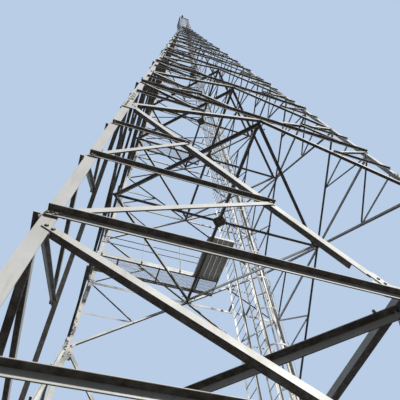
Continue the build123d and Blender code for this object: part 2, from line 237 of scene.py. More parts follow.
def galvanised(name, pale, dull, dirt_and_shade_colour, spangle_mm, dirt_and_shade_share):
    # Weathered hot-dip zinc: soft pale grey with a faint frost-like crystal pattern and rain streaks.
    # Faces turned down are painted dark brown: partly grime where rain doesn't wash them, partly painted
    # shade for the undersides, with a little rust bleeding through. Real spangle is 5 to 15 mm across, and
    # some is drawn coarser so that it shows. The scales are 1000 over a size in millimetres: patches 220,
    # rain streaks 16 wide and 700 long, mottling of the underside grime and painted shade 45, rust spots 30,
    # and the ripple of the dip 5.
    material = bpy.data.materials.new(name)
    material.use_nodes = True
    tree = material.node_tree
    tree.nodes.clear()
    place = node(tree, "TexCoord").outputs["Object"]
    crystal = node(tree, "TexVoronoi", {"Vector": place, "Scale": 1000 / spangle_mm}, feature="F1")
    crystal_tone = node(tree, "SeparateColor", {"Color": crystal.outputs["Color"]})
    patches = node(tree, "TexNoise", {
        "Vector": place, "Scale": 1000 / 220, "Detail": 5.0, "Roughness": 0.6,
    })
    patch_share = node(tree, "MapRange", {0: patches.outputs["Fac"], 1: 0.36, 2: 0.66, 3: 0.0, 4: 0.7})
    zinc = node(tree, "Mix", {
        0: patch_share.outputs[0], 6: colour(pale), 7: colour(dull),
    }, data_type="RGBA")
    crystal_share = node(tree, "MapRange", {0: crystal_tone.outputs[0], 1: 0.0, 2: 1.0, 3: 0.0, 4: 0.2})
    frosted = node(tree, "Mix", {
        0: crystal_share.outputs[0], 6: zinc.outputs[2], 7: colour(dull),
    }, data_type="RGBA")
    rain = node(tree, "Mapping", {"Vector": place, "Scale": (1000 / 16, 1000 / 16, 1000 / 700)})
    streaks = node(tree, "TexNoise", {
        "Vector": rain.outputs[0], "Scale": 1.0, "Detail": 4.0, "Roughness": 0.65,
    })
    streak_share = node(tree, "MapRange", {0: streaks.outputs["Fac"], 1: 0.54, 2: 0.8, 3: 0.0, 4: 0.24})
    streaked = node(tree, "Mix", {
        0: streak_share.outputs[0], 6: frosted.outputs[2], 7: colour(dirt_and_shade_colour),
    }, data_type="RGBA")
    # Down-facing faces are painted darker brown: part real grime, part painted shade for the shadow under the
    # bars.
    facing = node(tree, "SeparateXYZ", {0: node(tree, "NewGeometry").outputs["Normal"]})
    under = node(tree, "MapRange", {0: facing.outputs["Z"], 1: -0.12, 2: -0.6, 3: 0.0, 4: 1.0})
    mottle = node(tree, "TexNoise", {
        "Vector": place, "Scale": 1000 / 45, "Detail": 6.0, "Roughness": 0.7,
    })
    mottle_share = node(tree, "MapRange", {0: mottle.outputs["Fac"], 1: 0.3, 2: 0.6, 3: 0.7, 4: 1.0})
    dirt_and_shade_here = node(tree, "Math", {0: under.outputs[0], 1: mottle_share.outputs[0]}, operation="MULTIPLY")
    dirt_and_shade_part = node(tree, "Math", {0: dirt_and_shade_here.outputs[0], 1: dirt_and_shade_share}, operation="MULTIPLY")
    soiled_and_shaded = node(tree, "Mix", {
        0: dirt_and_shade_part.outputs[0], 6: streaked.outputs[2], 7: colour(dirt_and_shade_colour),
    }, data_type="RGBA")
    rust_spots = node(tree, "TexNoise", {
        "Vector": place, "Scale": 1000 / 30, "Detail": 8.0, "Roughness": 0.75,
    })
    rust_share = node(tree, "MapRange", {0: rust_spots.outputs["Fac"], 1: 0.6, 2: 0.72, 3: 0.0, 4: 0.7})
    rust_under = node(tree, "MapRange", {0: under.outputs[0], 1: 0.0, 2: 1.0, 3: 0.1, 4: 1.0})
    rust_part = node(tree, "Math", {0: rust_share.outputs[0], 1: rust_under.outputs[0]}, operation="MULTIPLY")
    rusted = node(tree, "Mix", {
        0: rust_part.outputs[0], 6: soiled_and_shaded.outputs[2], 7: colour("#5A3B28"),
    }, data_type="RGBA")
    clean = node(tree, "MapRange", {0: dirt_and_shade_part.outputs[0], 1: 0.0, 2: 1.0, 3: 0.12, 4: 0.0})
    shine = node(tree, "MapRange", {0: patches.outputs["Fac"], 1: 0.3, 2: 0.7, 3: 0.5, 4: 0.68})
    grain = node(tree, "TexNoise", {
        "Vector": place, "Scale": 1000 / 5, "Detail": 4.0, "Roughness": 0.6,
    })
    dips = node(tree, "Bump", {"Height": grain.outputs["Fac"], "Strength": 0.35, "Distance": 0.0006})
    steel = node(tree, "BsdfPrincipled", {
        "Base Color": rusted.outputs[2], "Metallic": clean.outputs[0], "Roughness": shine.outputs[0],
        "Normal": dips.outputs[0], "Specular IOR Level": 0.2,
    })
    node(tree, "OutputMaterial", {"Surface": steel.outputs[0]})
    return material


def leg_length(shape, corner, z0, z1, flange, thick):
    # One length of a leg. Its cut ends are level, as the ends of the lengths meet flat.
    for_x, for_y = corner
    low = Vector((for_x * half_at(z0), for_y * half_at(z0), z0))
    top = Vector((for_x * half_at(z1), for_y * half_at(z1), z1))
    inward_x, inward_y = Vector((-for_x, 0, 0)), Vector((0, -for_y, 0))
    rolled(shape, angle_outline(flange, flange, thick), low, top, inward_x, inward_y)


def leg_flange(z):
    return lower_flange if z < splice_z else (upper_flange if z < taper_height else head_flange)


def leg_thick(z):
    return lower_thick if z < splice_z else upper_thick


def gauge(z):
    # The line of bolts down the middle of a leg's flange.
    return half_at(z) - leg_flange(z) / 2


def outward(side, z):
    # The way that one side of the tower faces: 0 front, 1 right, 2 back, 3 left.
    lean = atan(slope) if z < taper_height else 0.0
    return Matrix.Rotation(side * pi / 2, 3, "Z") @ Vector((0, -cos(lean), sin(lean)))


def on_side(side, across, z, out=0.0):
    # A point on one side of the tower, and out metres proud of the legs' outer faces.
    flat = Matrix.Rotation(side * pi / 2, 3, "Z") @ Vector((across, -half_at(z), z))
    return flat + outward(side, z) * out


def flat_plate(shape, side, outline, out, thick):
    # A flat cut plate on one side of the tower, from (across, height) corners.
    points, faces = shape
    first = len(points)
    count = len(outline)
    for layer in (out, out + thick):
        for across, z in outline:
            points.append(on_side(side, across, z, layer))
    for i in range(count):
        j = (i + 1) % count
        faces.append((first + i, first + j, first + count + j, first + count + i))
    faces.append(tuple(range(first + count - 1, first - 1, -1)))
    faces.append(tuple(range(first + count, first + 2 * count)))


# The legs are rolled smooth, so their coat is even. The plates' coat has coarser spangle and is blotched.
leg_zinc = galvanised("weathered_galvanised_legs", "#D3D2CF", "#BEBDB9", "#564A3E", 14, 0.85)
plate_zinc = galvanised("dull_galvanised_plate", "#D5D3CD", "#B2AFA8", "#4E4338", 22, 0.9)
corners = {"front_left": (-1, -1), "front_right": (1, -1), "back_right": (1, 1), "back_left": (-1, 1)}
foot_plate_top = 0.015
for name, corner in corners.items():
    lower = ([], [])
    leg_length(lower, corner, foot_plate_top, splice_z, lower_flange, lower_thick)
    make_piece("leg_lower_length_" + name, lower, leg_zinc, ("lower_leg_" + name,))
    upper = ([], [])
    leg_length(upper, corner, splice_z, taper_height, upper_flange, upper_thick)
    make_piece("leg_upper_length_" + name, upper, leg_zinc, ("upper_leg_" + name,))
covers = ([], [])
cover_bolts = ([], [])
splices = ((4.29, 0.25), (8.30, 0.25), (12.0, 0.23), (16.27, 0.20), (20.48, 0.16))
outer_cover = 0.005
outer_inset = 0.004
inner_cover = 0.0045
inner_inset = 0.012
toe_inset = 0.006
cover_gap = 0.001
cover_grip = 0.018
cover_rows = 6
for level, tall in splices:
    foot_z = level - tall / 2
    head_z = level + tall / 2
    flange = leg_flange(head_z)
    low = half_at(foot_z)
    top = half_at(head_z)
    low_toe = low - flange + toe_inset
    top_toe = top - flange + toe_inset
    inner_face = -leg_thick(foot_z) - inner_cover - cover_gap
    pair = ((0.0, outer_cover, outer_inset), (inner_face, inner_cover, inner_inset))
    for side in range(4):
        for s in (-1, 1):
            for out, thick, inset in pair:
                flat_plate(covers, side, [
                    (s * (low - inset), foot_z), (s * low_toe, foot_z),
                    (s * top_toe, head_z), (s * (top - inset), head_z),
                ], out, thick)
            for i in range(cover_rows):
                z = level + tall * ((i + 0.5) / cover_rows - 0.5)
                across = half_at(z) - flange * (0.38 if i % 2 else 0.68)
                spot = on_side(side, s * across, z, outer_cover)
                hex_bolt(cover_bolts, spot, outward(side, z), big_bolt, cover_grip)
make_piece("leg_splice_covers", covers, plate_zinc)
make_piece("leg_splice_bolts", cover_bolts, plate_zinc)

# Bracing of the base bay: an X panel on the feet, a level bar, and a K panel over it, on all four sides.
# They are angle bars bolted on the outside of the legs. The second leg turns in from the lower edge of the X
# and K bars, and out from the upper edge of the level bars.
x_foot_z = 0.042
x_head_z = 1.925
base_thick = 0.0045
base_flat = 0.029
base_stand = 0.030
base_packing = 0.0052
x_middle_bolts = (0.05, 0.075)
base_stay_wide = 0.028
tie_layer = -0.0165
level_flat = 0.033
k_bottom = 2.0
k_top = 4.0
k_third = (k_top - k_bottom) / 3
base_stay_low = k_bottom / 3
base_stay_top = 1.310
k_flat = 0.045
k_strap_layer = 0.0048
k_strap_bolts = (0.065, 0.100, 0.135)
k_level_flats = ((1, 0.021), (2, 0.026))
k_level_layer = 0.0050
k_level_lap = 0.014
k_level_gap = 0.020
k_slant_wide = 0.030
k_slant_stand = 0.024
k_slant_layer = 0.0088
k_stay_thick = 0.0035
stay_thick = 0.003
stay_over = 0.0033
cope = 0.045
gusset_trim = 0.045
sheet_thick = 0.004
leg_grip = 0.008
end_bolts = (0.012, 0.042)
level_bolts = (-0.012, 0.018)
level_middle_bolts = (-0.012, 0.012)
washer_wide = 0.048


def crossing(z0, z1):
    # The height at which the two bars of an X panel cross.
    return z0 + (z1 - z0) * gauge(z0) / (gauge(z0) + gauge(z1))


def side_bar(shape, side, start, end, wide, thick, stand, layer=0.0,
             bare=(0.0, 0.0), trim=(0.0, 0.0), top=False):
    # An angle bar flat on one side of the tower, on the line from start to end, each (across, height).
    # stand is how far the second leg reaches out from the upper edge, or if negative, in from the lower one.
    # With top, a negative one reaches in from the upper edge. bare is the length at each end that keeps only
    # the flat leg, to pass what it is bolted to, and trim the length by which each end stops short.
    # With a stand of 0 there is no second leg, and only the bare lengths are drawn, as straps or washers.
    face = outward(side, (start[1] + end[1]) / 2)
    a = on_side(side, *start, layer)
    b = on_side(side, *end, layer)
    run = (b - a).normalized()
    up = face.cross(run)
    if up.z < 0:
        up = -up
    a = a + run * trim[0]
    b = b - run * trim[1]
    edge = -up if stand < 0 and not top else up
    heel = edge * wide / 2 + (face * thick if stand < 0 else Vector((0, 0, 0)))
    through = -face if stand < 0 else face
    first_cut = a + run * bare[0]
    last_cut = b - run * bare[1]
    if abs(stand) > thick:
        outline = angle_outline(wide, abs(stand), thick)
        rolled(shape, outline, first_cut + heel, last_cut + heel, -edge, through)
    strip = [(0, 0), (wide, 0), (wide, thick), (0, thick)]
    for near, far in ((a, first_cut), (last_cut, b)):
        if (far - near).length > 0.001:
            rolled(shape, strip, near + heel, far + heel, -edge, through)


def side_bolts(shape, side, start, toward, places, out, size, grip):
    # Bolts at given distances from start along the line of a bar.
    run = (Vector(toward) - Vector(start)).normalized()
    for place in places:
        across, z = Vector(start) + run * place
        hex_bolt(shape, on_side(side, across, z, out), outward(side, z), size, grip)


def cross_panel(shape, bolts, side, z0, z1, wide, thick, stand, size, trim=(0.0, 0.0)):
    # Two crossing bars: one runs through, the other is notched where it passes over.
    zc = crossing(z0, z1)
    low = gauge(z0)
    top = gauge(z1)
    past_leg = leg_flange(z0) * 0.7 + 0.008
    over = 0.0004
    side_bar(shape, side, (low, z0), (-top, z1), wide, thick, -stand, 0.0, (past_leg, past_leg), trim)
    side_bar(shape, side, (-low, z0), (0, zc), wide, thick, -stand, over, (past_leg, cope), (trim[0], 0))
    side_bar(shape, side, (0, zc), (top, z1), wide, thick, -stand, over, (cope, past_leg), (0, trim[1]))
    for s in (-1, 1):
        for z, cut in ((z0, trim[0]), (z1, trim[1])):
            if cut < gusset_trim:
                grip = thick + leg_thick(z)
                side_bolts(bolts, side, (s * gauge(z), z), (0, zc), end_bolts, thick + over, size, grip)


def level_bar(shape, bolts, side, z, wide, thick, layer, size):
    # A level bar over the crossing of two slanting ones, packed out from the legs by a washer plate.
    face = layer + thick
    grip = face + leg_thick(z)
    bolt_z = z - 0.002
    side_bar(shape, side, (-gauge(z) - wide / 2, z), (gauge(z) + wide / 2, z), wide, thick, wide, layer)
    for s in (-1, 1):
        across = s * gauge(z)
        near = (across - washer_wide / 2, z)
        far = (across + washer_wide / 2, z)
        side_bar(shape, side, near, far, wide * 0.9, layer, 0.0, bare=(washer_wide, 0))
        side_bolts(bolts, side, (across, bolt_z), (0, bolt_z), level_bolts, face, size, grip)
    side_bolts(bolts, side, (0, bolt_z), (1, bolt_z), level_middle_bolts, face, size, face)


def stay_bars(shape, bolts, side, z0, z1, low, top, wide, layer, size):
    # Short bars that hold the legs between the nodes of an X panel: levels at two heights, and slants from
    # them to the leg at the height of the crossing.
    face = layer + stay_thick
    slant_face = face + stay_over
    zc = crossing(z0, z1)
    for s in (-1, 1):
        for level, start, other in ((low, z0, z1), (top, z1, z0)):
            reach = s * (gauge(start) - (gauge(start) + gauge(other)) * (level - start) / (other - start))
            end = (s * gauge(level), level)
            tip = (reach, level)
            root = (s * gauge(zc), zc)
            side_bar(shape, side, end, tip, wide, stay_thick, wide, layer)
            side_bar(shape, side, tip, root, wide, stay_thick, -wide, layer + stay_over, bare=(0.03, 0.07))
            side_bolts(bolts, side, end, tip, (0.0,), face, size, face + leg_grip)
            side_bolts(bolts, side, tip, end, (0.006,), slant_face, size, slant_face)
            side_bolts(bolts, side, root, tip, (0.045,), slant_face, size, slant_face + leg_grip)


# The bars have finer spangle than the legs, and their undersides are painted nearly all dark: grime, and
# painted shade.
brace_zinc = galvanised("weathered_galvanised_bracing", "#DAD9D5", "#C3C0B9", "#43382F", 10, 0.95)
foot_crossing = crossing(x_foot_z, x_head_z)
side_names = ["front", "right", "back", "left"]
plates = {
    # The outline, (across, rise), and the layer of the plates behind the X's crossing and on the K's foot.
    foot_crossing: ([(-0.085, -0.045), (0.085, -0.045), (0.085, 0.045), (-0.085, 0.045)], -0.0045),
    k_bottom: ([
        (-0.105, -0.012), (0.105, -0.012), (0.150, 0.062), (0.110, 0.092), (-0.110, 0.092), (-0.150, 0.062),
    ], 0.0005),
}
bolts = ([], [])
sheets = ([], [])
for side in range(4):
    bay = ([], [])
    x_middle = (0, foot_crossing)
    side_bar(bay, side, (gauge(x_foot_z), x_foot_z), (-gauge(x_head_z), x_head_z),
             base_flat, base_thick, -base_stand, bare=(0.050, 0.040))
    for s, node_z in ((-1, x_foot_z), (1, x_head_z)):
        side_bar(bay, side, (s * gauge(node_z), node_z), x_middle,
                 base_flat, base_thick, -base_stand, bare=(0.045, 0.03), trim=(0, 0.034))
    for s in (-1, 1):
        for node_z in (x_foot_z, x_head_z):
            end = (s * gauge(node_z), node_z)
            side_bolts(bolts, side, end, x_middle, end_bolts, base_thick, big_bolt, base_thick + leg_grip)
            side_bolts(bolts, side, x_middle, end, x_middle_bolts, base_thick, big_bolt, base_thick * 2)
    stay_bars(bay, bolts, side, x_foot_z, x_head_z, base_stay_low, base_stay_top,
              base_stay_wide, base_packing, small_bolt)
    # A level tie behind the X, at its crossing.
    tie = half_at(foot_crossing) - 0.012
    side_bar(bay, side, (-tie, foot_crossing), (tie, foot_crossing),
             level_flat, base_thick, -level_flat, tie_layer)
    level_bar(bay, bolts, side, k_bottom, level_flat, base_thick, base_packing, big_bolt)
    for level, (outline, layer) in plates.items():
        flat_plate(sheets, side, [(across, level + rise) for across, rise in outline], layer, sheet_thick)
    for s in (-1, 1):
        k_foot = (0, k_bottom)
        k_head = (s * gauge(k_top), k_top)
        side_bar(bay, side, k_foot, k_head, k_flat, base_thick, -base_stand,
                 bare=(0.10, 0.085), trim=(0.16, 0.045))
        # A flat strap over the plate holds the foot of the K's bar.
        side_bar(bay, side, k_foot, k_head, k_flat, base_thick, 0.0, k_strap_layer,
                 bare=(0.145, 0), trim=(0.035, 0))
        strap_face = k_strap_layer + base_thick
        side_bolts(bolts, side, k_foot, k_head, k_strap_bolts, strap_face, big_bolt, strap_face)
        for third, flat in k_level_flats:
            level = k_top - third * k_third
            below = level - k_third
            across = s * gauge(k_top) * (level - k_bottom) / (k_top - k_bottom)
            tip = (across, level)
            end = (s * gauge(level), level)
            root = (s * gauge(below), below)
            level_face = k_level_layer + k_stay_thick
            slant_face = k_slant_layer + k_stay_thick
            side_bar(bay, side, (end[0] + s * k_level_lap, level), (across - s * k_level_gap, level),
                     flat, k_stay_thick, flat, k_level_layer)
            side_bar(bay, side, tip, root, k_slant_wide, k_stay_thick, -k_slant_stand, k_slant_layer,
                     bare=(0.03, 0.08), top=True)
            side_bolts(bolts, side, end, tip, (0.0,), level_face, big_bolt, level_face + leg_grip)
            side_bolts(bolts, side, tip, end, (0.008,), slant_face, big_bolt, slant_face)
            side_bolts(bolts, side, root, tip, (0.050,), slant_face, big_bolt, slant_face + leg_grip)
    make_piece("base_bay_bars_" + side_names[side], bay, brace_zinc,
               ("base_bracing_" + side_names[side],))
make_piece("base_bay_plates", sheets, plate_zinc)
make_piece("base_bay_bolts", bolts, plate_zinc)

# Bracing of the lower bay: three X panels of 40 mm angle bars, each with a level bar over the crossing
# and thin stay bars from the middle of each slant to the legs.
lower_levels = [4.0, 6.0, 8.0, 10.0]


def panel_bay(name, levels, bar, level_wide, packing, size, gap,
              top_trim=gusset_trim, under=0.0, stay_wide=0.0):
    # A bay of X panels on all four sides, with a level bar over each crossing. bar is the flat leg, the
    # thickness and the second leg of the crossing bars. They stop gap short of the levels, and at the bay's
    # ends gusset_trim and top_trim short. under is how far below its level a panel's upper end is taken.
    wide, thick, stand = bar
    bolts = ([], [])
    for side in range(4):
        bay = ([], [])
        for z0, z1 in zip(levels[:-1], levels[1:]):
            zc = crossing(z0, z1)
            trim = (gusset_trim if z0 == levels[0] else gap, top_trim if z1 == levels[-1] else gap)
            cross_panel(bay, bolts, side, z0, z1 - under, wide, thick, stand, size, trim)
            level_bar(bay, bolts, side, zc, level_wide, thick, packing, size)
            if stay_wide:
                middles = ((z0 + zc) / 2, (zc + z1) / 2)
                stay_bars(bay, bolts, side, z0, z1, *middles, stay_wide, packing, small_bolt)
        make_piece(name + "_bay_bars_" + side_names[side], bay, brace_zinc,
                   (name + "_bracing_" + side_names[side],))
    make_piece(name + "_bay_bolts", bolts, plate_zinc)


panel_bay("lower", lower_levels, (0.040, 0.004, 0.028), level_wide=0.033, packing=0.0046,
          size=big_bolt, gap=0.012, stay_wide=0.022)

# Bracing of the middle bay: four shorter X panels of 34 mm angle bars, with a level bar at each crossing.
# The panels are low enough to need no stays.
middle_levels = [10.0, 11.5, 13.0, 14.5, 16.0]
panel_bay("middle", middle_levels, (0.034, 0.0035, 0.026), level_wide=0.030, packing=0.0042,
          size=big_bolt, gap=0.010)

# Bracing of the upper bay: six short X panels of 28 mm angle bars, up to the neck, with smaller bolts.
# The uppermost bars end on the wider flange of the tapering leg, just under the neck.
upper_levels = [16.0, 17.5, 18.9, 20.2, 21.5, 22.75, 24.0]
panel_bay("upper", upper_levels, (0.028, 0.003, 0.022), level_wide=0.026, packing=0.0036,
          size=small_bolt, gap=0.008, top_trim=0.008, under=0.001)

# Straight head above the neck: four small angles under a square frame of angles, with an arm for the light,
# and six small X panels on each side.
head_top = taper_height + head_height
frame_z = head_top + 0.005
top_angle = angle_outline(0.040, 0.036, 0.0045)
arm_angle = angle_outline(0.026, 0.026, 0.004)
arm_x = -0.150
arm_half = 0.030
arm_reach = 0.110
arm_hold = 0.030
head = ([], [])
for corner in corners.values():
    leg_length(head, corner, taper_height, head_top, head_flange, head_thick)
for side in range(4):
    turn = Matrix.Rotation(side * pi / 2, 3, "Z")
    start = turn @ Vector((-top_half, -top_half, frame_z))
    end = turn @ Vector((top_half, -top_half, frame_z))
    rolled(head, top_angle, start, end, turn @ north, -high)
for s in (-1, 1):
    x = arm_x + s * arm_half
    start = Vector((x, -top_half - arm_reach, frame_z))
    end = Vector((x, -top_half + arm_hold, frame_z))
    rolled(head, arm_angle, start, end, east * -s, -high)
make_piece("head_angles_and_top_frame", head, leg_zinc, ("head_legs",))
head_wide = 0.020
head_stand = 0.018
head_bar_thick = 0.003
head_over = 0.0032
head_face = head_over + head_bar_thick
head_line = gauge(head_top)
head_bare = 0.030
head_gap = 0.001
head_panels = 6
head_step = (head_height - 2 * head_wide) / head_panels
bolts = ([], [])
for side in range(4):
    bay = ([], [])
    for i in range(head_panels):
        low = taper_height + head_wide + i * head_step + head_gap / 2
        top = low + head_step - head_gap
        middle = (0, (low + top) / 2)
        side_bar(bay, side, (head_line, low), (-head_line, top), head_wide, head_bar_thick, -head_stand,
                 bare=(head_bare, head_bare))
        side_bar(bay, side, (-head_line, low), (head_line, top), head_wide, head_bar_thick, head_stand,
                 head_over)
        for s in (-1, 1):
            end = (s * head_line, low)
            side_bolts(bolts, side, end, middle, (0.012,), head_face, fine_bolt, head_face + head_thick)
        side_bolts(bolts, side, middle, (1, top), (0.0,), head_face, fine_bolt, head_face)
    for level in (taper_height + head_wide, head_top - head_wide):
        side_bar(bay, side, (-top_half, level), (top_half, level), head_wide, head_bar_thick, head_stand)
    make_piece("head_bars_" + side_names[side], bay, brace_zinc,
               ("head_bracing_" + side_names[side],))
make_piece("head_bolts", bolts, plate_zinc)

# Plan bracing: level angle bars inside the shaft that keep it square, a diamond between the middles
# of the four sides with a cross through it, and a bolted plate in the middle.
# The second leg of the diamond's bars hangs from their inner edge.
plan_levels = [
    (k_bottom, 0.046, 0), (crossing(4.0, 6.0), 0.038, 0), (crossing(6.0, 8.0), 0.038, 0),
    (crossing(8.0, 10.0), 0.038, 0), (crossing(13.0, 14.5), 0.032, 1),
]
plan_gap = 0.004
plan_cut = 0.045
plan_bolt_shares = (0.06, 0.94)
plate_half = 0.07
plate_bolts = (0.035, 0.068)
plate_turned = (Vector((0.7071, 0.7071, 0)), Vector((-0.7071, 0.7071, 0)))


def plan_bar(shape, a, b, z, wide, thick, way):
    # way is -1 for a second leg that hangs, and 1 for one that stands up.
    heel_z = z if way > 0 else z + thick
    start = Vector((a[0], a[1], heel_z))
    end = Vector((b[0], b[1], heel_z))
    over = (end - start).normalized().cross(high)
    heel = -over * wide / 2
    rolled(shape, angle_outline(wide, wide * 0.93, thick), start + heel, end + heel, over, high * way)


plan = ([], [])
bolts = ([], [])
for level, wide, first_corner in plan_levels:
    reach = half_at(level) - plan_gap
    thick = wide / 10
    for turn in range(first_corner, 4):
        quarter = Matrix.Rotation(turn * pi / 2, 2)
        cut, full = (
            [quarter @ Vector((reach - short, plan_gap)), quarter @ Vector((plan_gap, reach - short))]
            for short in (plan_cut, plan_gap)
        )
        plan_bar(plan, cut[0], cut[1], level, wide, thick, -1)
        for share in plan_bolt_shares:
            spot = full[0].lerp(full[1], share)
            hex_bolt(bolts, Vector((spot[0], spot[1], level)), -high, big_bolt, thick)
    plan_bar(plan, (-reach, 0), (reach, 0), level + thick + 0.0006, wide * 0.9, thick, 1)
    plan_bar(plan, (0, -reach), (0, reach), level + thick + 0.0004, wide * 0.9, thick, 1)
    rolled(plan, [(a * plate_half, b * plate_half) for a, b in ((-1, -1), (1, -1), (1, 1), (-1, 1))],
           high * level, high * (level + thick), *plate_turned)
    for a, b in ((1, 0), (-1, 0), (0, 1), (0, -1)):
        for far in plate_bolts:
            hex_bolt(bolts, Vector((a * far, b * far, level)), -high, big_bolt, thick * 2)
make_piece("plan_bars", plan, brace_zinc, ("plan_bracing",))
make_piece("plan_bolts", bolts, plate_zinc)

# Gusset plates and foot plates: flat galvanised plate, sheared and drilled, duller than the rolled bars.
# Rows of bolts go through each gusset, one row down the leg and one along each bar that ends under it.
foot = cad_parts["foot_plates"]
foot.data.materials.clear()
foot.data.materials.append(plate_zinc)
gusset_shape = [
    (0.001, -0.155), (0.096, -0.155), (0.108, -0.120), (0.098, 0.003), (0.072, 0.045), (0.001, 0.100),
]
gusset_rows = (-0.125, -0.085, -0.045, 0.0, 0.035, 0.065)
bolts_below = (0.066, 0.100)
bolts_above = (0.050,)
row_share = 0.36
gusset_out = 0.005
gusset_face = gusset_out + sheet_thick
gussets = {k_top: (1.0, k_bottom, 6.0), 10.0: (0.8, 8.0, 11.5), 16.0: (0.68, 14.5, 17.5)}
sheets = ([], [])
bolts = ([], [])
for level, (scale, under, over) in gussets.items():
    grip = gusset_face + leg_thick(level)
    for side in range(4):
        for s in (-1, 1):
            joint = (s * gauge(level), level)
            # The K's bars come from the middle of their level bar, the others from the opposite leg.
            below = (0, under) if level == k_top else (-s * gauge(under), under)
            above = (-s * gauge(over), over)
            outline = [
                (s * (half_at(level + dz * scale) - across * scale), level + dz * scale)
                for across, dz in gusset_shape
            ]
            flat_plate(sheets, side, outline, gusset_out, sheet_thick)
            for dz in gusset_rows:
                z = level + dz * scale
                spot = on_side(side, s * (half_at(z) - leg_flange(level) * row_share), z, gusset_face)
                hex_bolt(bolts, spot, outward(side, z), big_bolt, grip)
            for toward, places in ((below, bolts_below), (above, bolts_above)):
                places = [place * scale for place in places]
                side_bolts(bolts, side, joint, toward, places, gusset_face, big_bolt, gusset_face)
make_piece("leg_gussets", sheets, plate_zinc, ("gusset_plates",))
make_piece("gusset_bolts", bolts, plate_zinc)

# Rest platforms: a walkway of bar grating between two beams along the inside of the back face, with toe
# boards and a guard of posts and rails on the inner side, all of welded and galvanised flats and angles.
# Each is trimmed to the shaft's width at its own height, so its edges are shares of half that width.
walk_near = 0.66
walk_far = 0.86
walk_end = 0.22
walk_lift = 0.005
beam_height = 0.040
beam_channel = [
    (0, 0), (0.022, 0), (0.022, 0.003), (0.003, 0.003),
    (0.003, 0.037), (0.022, 0.037), (0.022, beam_height), (0, beam_height),
]
end_plate = 0.003
bearers = 3
bearer_angle = angle_outline(0.020, 0.020, 0.0025)
toe_height = 0.028
toe_half = 0.0015
grate_pitch = 0.0165
grate_half = 0.00125
grate_deep = 0.0135
grate_gap = 0.004
cross_rods = 5
rod_half = 0.0014
posts = 4
post_half = 0.0025
post_deep = 0.022
post_gap = 0.0025
post_bolts = (0.014, 0.030)
rail_height = 0.550
rail_shares = (0.45, 0.7, 1.0)
rail_r = 0.0062
platform_levels = [crossing(4.0, 6.0), crossing(8.0, 10.0), crossing(13.0, 14.5)]


def block(shape, low, top):
    # A flat bar or plate square to the tower, from its lowest to its highest corner.
    rolled(shape, [(low[0], low[1]), (top[0], low[1]), (top[0], top[1]), (low[0], top[1])],
           Vector((0, 0, low[2])), Vector((0, 0, top[2])), east, north)


# The thin flats have a brighter coat than the legs, and less painted grime and shade under them.
platform_zinc = galvanised("pale_galvanised_platform", "#E6E5E1", "#CBCAC5", "#4A4037", 12, 0.8)
floors = ([], [])
guards = ([], [])
for level in platform_levels:
    half = half_at(level)
    base = level + walk_lift
    floor = base + beam_height
    west = -half + 0.012
    end = walk_end * half
    near = walk_near * half
    far = walk_far * half
    for y, s in ((near, 1), (far, -1)):
        rolled(floors, beam_channel, Vector((west, y, base)), Vector((end, y, base)), north * s, high)
        block(floors, (west, y - toe_half, floor), (end, y + toe_half, floor + toe_height))
    block(floors, (end - end_plate, near, base), (end, far, floor))
    for i in range(bearers):
        x = west + (end - west) * (i + 0.5) / bearers
        rolled(floors, bearer_angle, Vector((x, near, base)), Vector((x, far, base)), east, high)
    grate_top = floor - 0.0005
    for i in range(int((end - west) / grate_pitch)):
        x = end - 0.006 - i * grate_pitch
        block(floors, (x - grate_half, near + grate_gap, grate_top - grate_deep),
              (x + grate_half, far - grate_gap, grate_top))
    for i in range(cross_rods):
        y = near + (far - near) * (i + 0.5) / cross_rods
        block(floors, (west, y - rod_half, floor - 0.0035), (end, y + rod_half, floor - 0.0002))
    pitch = (half + end - 0.09) / (posts - 1)
    for i in range(posts):
        x = end - 0.010 - pitch * i
        block(guards, (x - post_half, near - post_deep - post_gap, base + 0.004),
              (x + post_half, near - post_gap, floor + rail_height))
        for rise in post_bolts:
            spot = Vector((x + post_half, near - 0.013, base + rise))
            hex_bolt(guards, spot, east, fine_bolt, post_half * 2)
    for share in rail_shares:
        start = Vector((west, near - post_gap - post_deep / 2, floor + rail_height * share - 0.008))
        turned(guards, start, east, [(rail_r, 0), (rail_r, end - west)], 10)
make_piece("platform_walkways", floors, platform_zinc, ("platform_floors",))
make_piece("platform_guards", guards, platform_zinc, ("guard_rails",))

# Side bay of the first platform: a small welded frame of flats with five folded planks, which reaches to
# the middle of the shaft. The planks get less of the painted grime and shade underneath than the bars.
bay_near = 0.18
bay_half = half_at(platform_levels[0])
low_x = -0.050
top_x = walk_end * bay_half
low_y = bay_near * bay_half
top_y = walk_near * bay_half - post_gap
edge = 0.003
base = platform_levels[0] + walk_lift
floor = base + beam_height
bay = ([], [])
block(bay, (low_x, low_y, base), (low_x + edge, top_y, floor))
block(bay, (top_x - edge, low_y, base), (top_x, top_y, floor))
block(bay, (low_x + edge, low_y, base), (top_x - edge, low_y + edge, floor))
block(bay, (low_x + edge, top_y - edge, base), (top_x - edge, top_y, floor))
planks = 5
pitch = (top_x - low_x - 2 * edge) / planks
plank_fold = [
    (0.003, 0), (0.0055, 0), (0.0055, 0.0115), (pitch - 0.0055, 0.0115),
    (pitch - 0.0055, 0), (pitch - 0.003, 0), (pitch - 0.003, 0.014), (0.003, 0.014),
]
plank_z = floor - 0.015
for i in range(planks):
    x = low_x + edge + i * pitch
    start = Vector((x, low_y + edge, plank_z))
    rolled(bay, plank_fold, start, Vector((x, top_y - edge, plank_z)), east, high)
plank_zinc = galvanised("clean_galvanised_planks", "#EDECE9", "#D6D5D1", "#8B857C", 12, 0.35)
make_piece("platform_side_bay", bay, plank_zinc, ("side_bay",))

# Climbing ladder and cable ladder: 25 mm angle stringers on bracket arms from the back face, which lean
# with it. Both have round bar rungs through their stringers, welded on both sides.
ladder_start = 0.300
ladder_top = taper_height - 0.400
ladder_set_in = 0.285
stringer_thick = 0.0035
stringer_angle = angle_outline(0.025, 0.022, stringer_thick)
bracket_angle = angle_outline(0.020, 0.020, 0.003)
rung_pitch = 0.145
rung_r = 0.0045
weld_r = 0.0055


